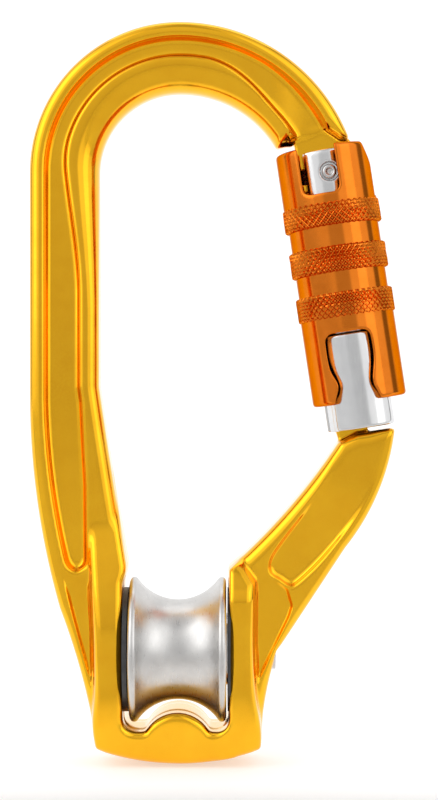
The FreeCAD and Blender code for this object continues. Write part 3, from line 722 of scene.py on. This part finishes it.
def area_light(name, place, target, width, height, power):
    light = bpy.data.lights.new(name, "AREA")
    light.shape = "RECTANGLE"
    light.size, light.size_y = width, height
    light.energy = power
    lamp = bpy.data.objects.new(name, light)
    lamp.location = place
    lamp.rotation_euler = (Vector(target) - Vector(place)).to_track_quat("-Z", "Y").to_euler()
    bpy.context.scene.collection.objects.link(lamp)


def tone_ramp(nodes, links, source, stops):
    """Grey tones at places from 0 to 1 along a value."""
    node = nodes.new("ShaderNodeValToRGB")
    links.new(source.outputs["Result"], node.inputs["Fac"])
    tones = node.color_ramp
    while len(tones.elements) > 1:
        tones.elements.remove(tones.elements[-1])
    tones.elements[0].position, tones.elements[0].color = stops[0][0], (stops[0][1],) * 3 + (1,)
    for at, tone in stops[1:]:
        tones.elements.new(at).color = (tone, tone, tone, 1)
    return node


def make_world():
    """A pale room, a little darker in front, so that polished metal has something to mirror."""
    world = bpy.data.worlds.new("studio")
    bpy.context.scene.world = world
    world.use_nodes = True
    nodes, links = world.node_tree.nodes, world.node_tree.links
    place = nodes.new("ShaderNodeTexCoord")
    split = nodes.new("ShaderNodeSeparateXYZ")
    links.new(place.outputs["Generated"], split.inputs["Vector"])
    angle = nodes.new("ShaderNodeMath")
    angle.operation = "ARCTAN2"
    links.new(split.outputs["X"], angle.inputs[0])
    links.new(split.outputs["Y"], angle.inputs[1])
    scaled = nodes.new("ShaderNodeMapRange")
    scaled.inputs["From Min"].default_value = -math.pi
    scaled.inputs["From Max"].default_value = math.pi
    links.new(angle.outputs[0], scaled.inputs["Value"])
    # From the camera's side (0 and 1) round the left (0.25) to the back (0.5) and the right.
    around = tone_ramp(nodes, links, scaled, [
        (0.0, 0.60), (0.044, 0.62), (0.061, 0.90), (0.125, 1.0), (0.19, 1.2), (0.262, 1.25),
        (0.276, 0.35), (0.305, 0.5), (0.33, 0.95), (0.5, 0.95), (0.692, 0.9), (0.706, 0.25),
        (0.744, 0.25), (0.756, 0.95), (0.942, 1.0), (0.956, 0.58), (1.0, 0.60)])
    level = nodes.new("ShaderNodeMapRange")
    level.inputs["From Min"].default_value = -1
    links.new(split.outputs["Z"], level.inputs["Value"])
    # From straight down (0) over the horizon (0.5) to straight up (1).
    upward = tone_ramp(nodes, links, level, [
        (0.0, 0.75), (0.25, 0.75), (0.456, 0.92), (0.5, 0.97), (0.543, 1.07), (0.587, 1.12),
        (0.671, 1.25), (0.87, 1.33), (0.933, 0.85), (1.0, 0.8)])
    background = nodes["Background"]
    links.new(around.outputs["Color"], background.inputs["Color"])
    links.new(upward.outputs["Color"], background.inputs["Strength"])


def make_stage(foot):
    """A pale floor that curves up into a backdrop, glowing from just in front of the part backwards;
    the floor nearer the camera gets no glow, a painted shade that leaves it grey.
    """
    floor_z = foot - 0.0006
    radius, back, half = 0.3, 1.6, 3.5
    path = [(-2.5, 0.0), (back - radius, 0.0)]
    path += [(back - radius + radius * math.sin(t), radius - radius * math.cos(t))
             for t in np.linspace(0.1, math.pi / 2, 14)]
    path += [(back, 3.5)]
    vertices, faces = [], []
    for y, z in path:
        vertices += [(-half, y, floor_z + z), (half, y, floor_z + z)]
    for i in range(len(path) - 1):
        faces.append((2 * i, 2 * i + 1, 2 * i + 3, 2 * i + 2))
    mesh = bpy.data.meshes.new("floor")
    mesh.from_pydata(vertices, [], faces)
    for face in mesh.polygons:
        face.use_smooth = True
    floor = bpy.data.objects.new("floor", mesh)
    bpy.context.scene.collection.objects.link(floor)
    material, nodes, links, shader = new_material("paper")
    shader.inputs["Base Color"].default_value = (0.65, 0.65, 0.65, 1)
    shader.inputs["Roughness"].default_value = 0.9
    shader.inputs["Emission Color"].default_value = (1, 1, 1, 1)
    place = nodes.new("ShaderNodeTexCoord")
    split = nodes.new("ShaderNodeSeparateXYZ")
    links.new(place.outputs["Object"], split.inputs["Vector"])
    # Painted shade: the paper glows as brightly as a backdrop from just in front of the part
    # backwards and gets no glow nearer the camera, so the front floor stays grey.
    glow_and_painted_shade = nodes.new("ShaderNodeMapRange")
    glow_and_painted_shade.inputs["From Min"].default_value = -0.05
    glow_and_painted_shade.inputs["From Max"].default_value = -0.02
    glow_and_painted_shade.inputs["To Min"].default_value = 0.0
    glow_and_painted_shade.inputs["To Max"].default_value = 0.46
    links.new(split.outputs["Y"], glow_and_painted_shade.inputs["Value"])
    links.new(glow_and_painted_shade.outputs["Result"], shader.inputs["Emission Strength"])
    mesh.materials.append(material)


def make_camera():
    """Level with the part and square to its face, about a third of a metre away."""
    data = bpy.data.cameras.new("camera")
    camera = bpy.data.objects.new("camera", data)
    distance, frame_height = 0.342, 0.1453
    camera.location = (0.0074, -distance, 0.0452)
    camera.rotation_euler = (math.pi / 2, 0, 0)
    data.sensor_width = 36
    data.lens = 36 * distance / frame_height
    bpy.context.scene.collection.objects.link(camera)
    bpy.context.scene.camera = camera


def make_lights():
    area_light("left_box", (-0.5, -0.35, 0.35), (0, 0, 0.045), 0.35, 0.6, 0.45)
    area_light("right_box", (0.55, -0.4, 0.25), (0, 0, 0.045), 0.3, 0.5, 0.25)
    area_light("top_box", (0.0, 0.2, 0.7), (0, 0, 0.045), 0.6, 0.3, 0.4)


# ---------------------------------------------------------------- build

materials = make_materials()
dress(materials)
made = {
    "gold_anodised": [make_frame()],
    "silver_gate": [make_gate()],
    "orange_anodised": [make_sleeve(), *(make_ring(n, *span) for n, span in enumerate(RINGS))],
    "silver_sheave": [make_sheave()],
    "pin_steel": [make_rivet()],
}
for slot_name, pieces in made.items():
    for piece in pieces:
        piece.data.materials.append(materials[slot_name])
make_world()
make_stage(CAD_BOX[0][2])
make_camera()
make_lights()
bpy.context.scene.view_settings.view_transform = "Standard"
